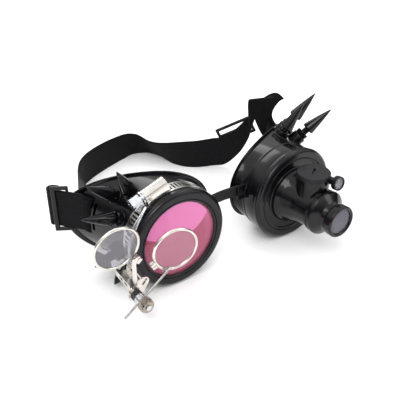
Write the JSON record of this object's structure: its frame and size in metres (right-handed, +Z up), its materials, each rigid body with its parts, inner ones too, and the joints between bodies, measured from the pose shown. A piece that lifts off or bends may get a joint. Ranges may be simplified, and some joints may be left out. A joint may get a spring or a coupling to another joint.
{
  "type": "goggles",
  "caption": "Wraparound two-cup goggles with screw-on bezels, a tinted lens, a magnifier with a tilting lamp, swing-in loupes on a hose clamp, cone studs and a webbing head strap",
  "frame": {"origin": "Midway between the two cups' axes, in the plane of the bezels' faces, on the table that the clamp band and the right bezel rest on", "axes": "X to the viewer's right, Y to the back of the head, Z up from the table"},
  "size_m": [0.1979, 0.2133, 0.0883],
  "materials": {
    "black_plastic": "glossy black",
    "bezel_plastic": "satin black",
    "pink_lens": "pink tinted",
    "clear_lens": "clear",
    "gasket_rubber": "matt",
    "cap_plastic": "matt black",
    "bright_steel": "bright",
    "spring_brass": "bright",
    "lamp_board": "pale",
    "nickel_steel": "bright nickel",
    "dark_washer": "dark",
    "warm_nickel": "warm nickel",
    "strap_leather": "black",
    "webbing": "ribbed black"
  },
  "bodies": {
    "cups": {"left_eyecup": "black_plastic", "right_eyecup": "black_plastic", "clamp_band": "nickel_steel", "clamp_housing": "nickel_steel", "clip_wires": "bright_steel", "loupe_bracket": "nickel_steel", "left_cones": "black_plastic", "right_cones": "black_plastic", "low_cones": "black_plastic", "left_stud_nuts": "black_plastic", "right_stud_nuts": "black_plastic", "left_stud_screws": "bright_steel", "right_stud_screws": "bright_steel", "nose_strap": "strap_leather", "nose_rivets": "dark_washer", "head_strap": "webbing", "left_slider": "cap_plastic", "right_slider": "cap_plastic"},
    "left_lens_stack": {"pink_lens": "pink_lens", "left_gasket": "gasket_rubber", "left_snap_ring": "bezel_plastic"},
    "left_bezel_ring": {"left_bezel": "bezel_plastic"},
    "right_lens_stack": {"right_gasket": "gasket_rubber", "right_snap_ring": "bezel_plastic", "magnifier_body": "black_plastic", "magnifier_bell": "black_plastic", "field_lens": "clear_lens", "coin_cells": "bright_steel", "contact_spring": "spring_brass", "lamp_hinge_pin": "bright_steel"},
    "right_bezel_ring": {"right_bezel": "bezel_plastic"},
    "eyepiece": {"eyepiece_ring": "black_plastic", "eyepiece_lens": "clear_lens"},
    "battery_lid": {"battery_cap": "cap_plastic"},
    "lamp": {"lamp_barrel": "black_plastic", "lamp_board": "lamp_board", "lamp_lens": "clear_lens"},
    "worm_screw": {"clamp_screw": "bright_steel"},
    "swivel": {"pivot_stud": "bright_steel", "square_washer": "dark_washer"},
    "thumb_knob": {"thumb_nut": "warm_nickel"},
    "inner_loupe": {"inner_loupe_wire": "bright_steel", "inner_loupe_rim": "nickel_steel", "inner_loupe_lens": "clear_lens", "inner_rim_screw": "bright_steel"},
    "outer_loupe": {"outer_loupe_arm": "nickel_steel", "outer_loupe_rim": "nickel_steel", "outer_loupe_lens": "clear_lens", "outer_rim_screw": "bright_steel"}
  },
  "joints": [
    {"name": "left_lens_out", "type": "slide", "parent": "cups", "child": "left_lens_stack", "axis": [0, -1, 0], "range_m": [0, 0.00501]},
    {"name": "left_bezel_turn", "type": "hinge", "parent": "left_lens_stack", "child": "left_bezel_ring", "pos_m": [-0.045, 0, 0.03175], "axis": [0, -1, 0], "range_deg": [0, 360]},
    {"name": "right_lens_out", "type": "slide", "parent": "cups", "child": "right_lens_stack", "axis": [0, -1, 0], "range_m": [0, 0.00501]},
    {"name": "right_bezel_turn", "type": "hinge", "parent": "right_lens_stack", "child": "right_bezel_ring", "pos_m": [0.045, 0, 0.03175], "axis": [0, -1, 0], "range_deg": [0, 360]},
    {"name": "eyepiece_turn", "type": "hinge", "parent": "right_lens_stack", "child": "eyepiece", "pos_m": [0.045, -0.038, 0.03175], "axis": [0, -1, 0], "range_deg": [0, 270]},
    {"name": "battery_lid_turn", "type": "hinge", "parent": "right_lens_stack", "child": "battery_lid", "pos_m": [0.045, -0.015, 0.05375], "axis": [0, 0, 1], "range_deg": [0, 90]},
    {"name": "lamp_tilt", "type": "hinge", "parent": "right_lens_stack", "child": "lamp", "pos_m": [0.052, -0.02349, 0.05059], "axis": [-1, 0, 0], "range_deg": [-2, 25]},
    {"name": "clamp_screw_turn", "type": "hinge", "parent": "cups", "child": "worm_screw", "pos_m": [-0.05672, 0.009, 0.06505], "axis": [-0.9432, 0, -0.3322], "continuous": true},
    {"name": "swivel_turn", "type": "hinge", "parent": "cups", "child": "swivel", "pos_m": [-0.0825, -0.015, 0.01535], "axis": [0, -1, 0], "range_deg": [-25, 80]},
    {"name": "thumb_nut_turn", "type": "hinge", "parent": "swivel", "child": "thumb_knob", "pos_m": [-0.0825, -0.021, 0.01535], "axis": [0, -1, 0], "continuous": true},
    {"name": "inner_loupe_slide", "type": "slide", "parent": "swivel", "child": "inner_loupe", "axis": [0.8171, 0, 0.5764], "range_m": [-0.008, 0.01]},
    {"name": "outer_loupe_swing", "type": "hinge", "parent": "cups", "child": "outer_loupe", "pos_m": [-0.0825, -0.01, 0.01535], "axis": [0, -1, 0], "range_deg": [-60, 45]}
  ],
  "couplings": [
    {"joint": "left_lens_out", "follows": "left_bezel_turn", "m_per_rad": 0.00079577},
    {"joint": "right_lens_out", "follows": "right_bezel_turn", "m_per_rad": 0.00079577}
  ]
}
